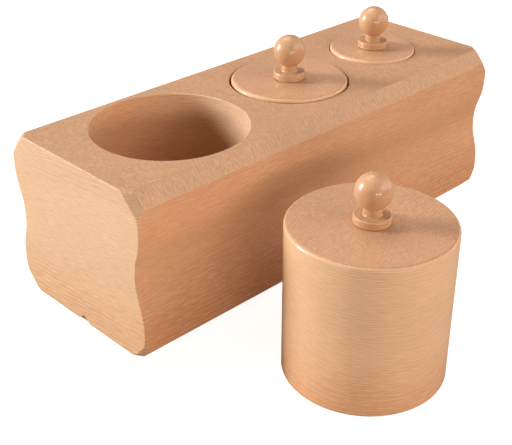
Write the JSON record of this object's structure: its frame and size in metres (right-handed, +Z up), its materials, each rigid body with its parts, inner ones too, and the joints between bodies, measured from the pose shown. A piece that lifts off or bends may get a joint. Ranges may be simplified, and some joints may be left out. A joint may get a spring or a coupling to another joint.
{
  "type": "knobbed cylinder block",
  "caption": "Wooden block with round sockets of falling width and matching knobbed cylinders that lift out, one of them standing beside the block.",
  "frame": {"origin": "on the surface that the set stands on, under the middle of the footprint of the block and the cylinder beside it", "axes": "+X along the block from the widest socket to the narrowest, +Y from the standing cylinder to the block, +Z up"},
  "size_m": [0.322, 0.257, 0.1413],
  "materials": {
    "block_beech": "satin clear lacquer",
    "cylinder_beech": "satin clear lacquer",
    "knob_beech": "gloss clear lacquer"
  },
  "bodies": {
    "block": {"block": "block_beech"},
    "large_cylinder": {"large_cylinder": "cylinder_beech", "large_cylinder_knob": "knob_beech"},
    "middle_cylinder": {"middle_cylinder": "cylinder_beech", "middle_cylinder_knob": "knob_beech"},
    "small_cylinder": {"small_cylinder": "cylinder_beech", "small_cylinder_knob": "knob_beech"}
  },
  "joints": [
    {"name": "large_cylinder_lift", "type": "slide", "parent": "block", "child": "large_cylinder", "axis": [0, 0, 1], "range_m": [0, 0.12]},
    {"name": "middle_cylinder_lift", "type": "slide", "parent": "block", "child": "middle_cylinder", "axis": [0, 0, 1], "range_m": [0, 0.105]},
    {"name": "small_cylinder_lift", "type": "slide", "parent": "block", "child": "small_cylinder", "axis": [0, 0, 1], "range_m": [0, 0.105]}
  ]
}
